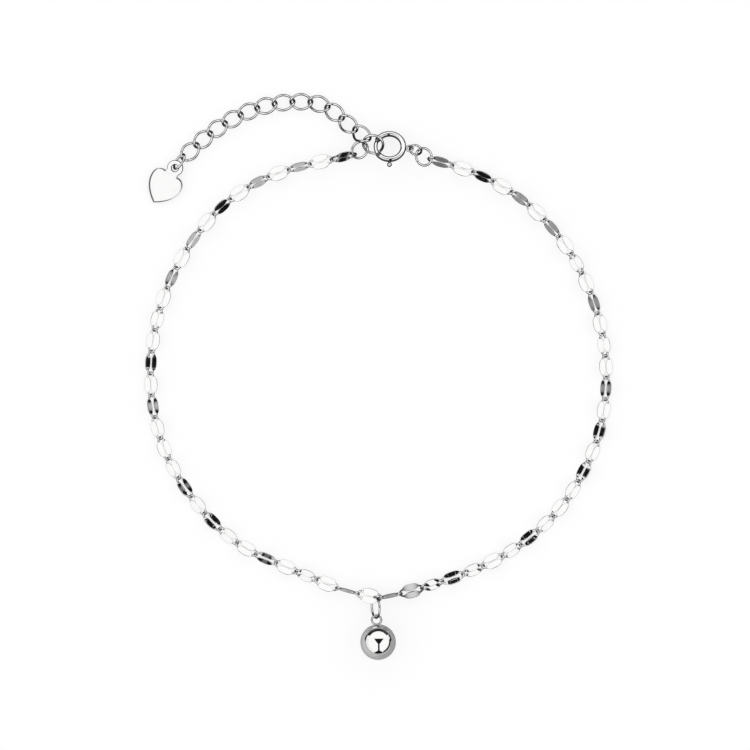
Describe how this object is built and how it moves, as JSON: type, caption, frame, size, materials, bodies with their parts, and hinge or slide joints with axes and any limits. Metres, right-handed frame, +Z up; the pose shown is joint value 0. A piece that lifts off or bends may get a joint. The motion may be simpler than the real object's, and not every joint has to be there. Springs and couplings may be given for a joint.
{
  "type": "chain anklet",
  "caption": "Silver chain anklet laid down as an open loop, with pressed lip links, a plain ball drop, a sprung ring clasp and a short extender ending in a bare heart tag.",
  "frame": {"origin": "middle of the anklet's outline, on the surface that it lies on", "axes": "+Z up from the surface, +Y from the ball drop to the clasp, +X to the right seen from above"},
  "size_m": [0.0702, 0.0848, 0.0054],
  "materials": {
    "silver_lip_links": "polished silver, pressed lip links",
    "silver_wire": "polished silver wire",
    "silver_clasp": "polished silver tube and wire",
    "silver_ball": "mirror-polished hollow silver ball",
    "silver_tag": "polished silver plate, bare"
  },
  "bodies": {
    "anklet": {"chain_left": "silver_lip_links", "chain_right": "silver_lip_links", "clasp_ring": "silver_clasp", "end_ring": "silver_wire", "jump_ring_left": "silver_wire", "clasp_link": "silver_wire", "jump_ring_right": "silver_wire", "pendant_ring": "silver_wire", "pendant_ball": "silver_ball", "extender_link_01": "silver_wire", "extender_link_02": "silver_wire", "extender_link_03": "silver_wire", "extender_link_04": "silver_wire", "extender_link_05": "silver_wire", "extender_link_06": "silver_wire", "extender_link_07": "silver_wire", "extender_link_08": "silver_wire", "extender_link_09": "silver_wire", "extender_link_10": "silver_wire", "extender_link_11": "silver_wire", "extender_link_12": "silver_wire", "tag_link": "silver_wire", "heart_tag": "silver_tag"},
    "trigger": {"clasp_trigger": "silver_clasp"}
  },
  "joints": [
    {"name": "clasp_trigger_hinge", "type": "hinge", "parent": "anklet", "child": "trigger", "pos_m": [0.00165, 0.03426, 0.00179], "axis": [0, 0.342, 0.9397], "range_deg": [0, 52], "stiffness_Nm_per_rad": 0.0027, "springref_deg": -11.46}
  ]
}
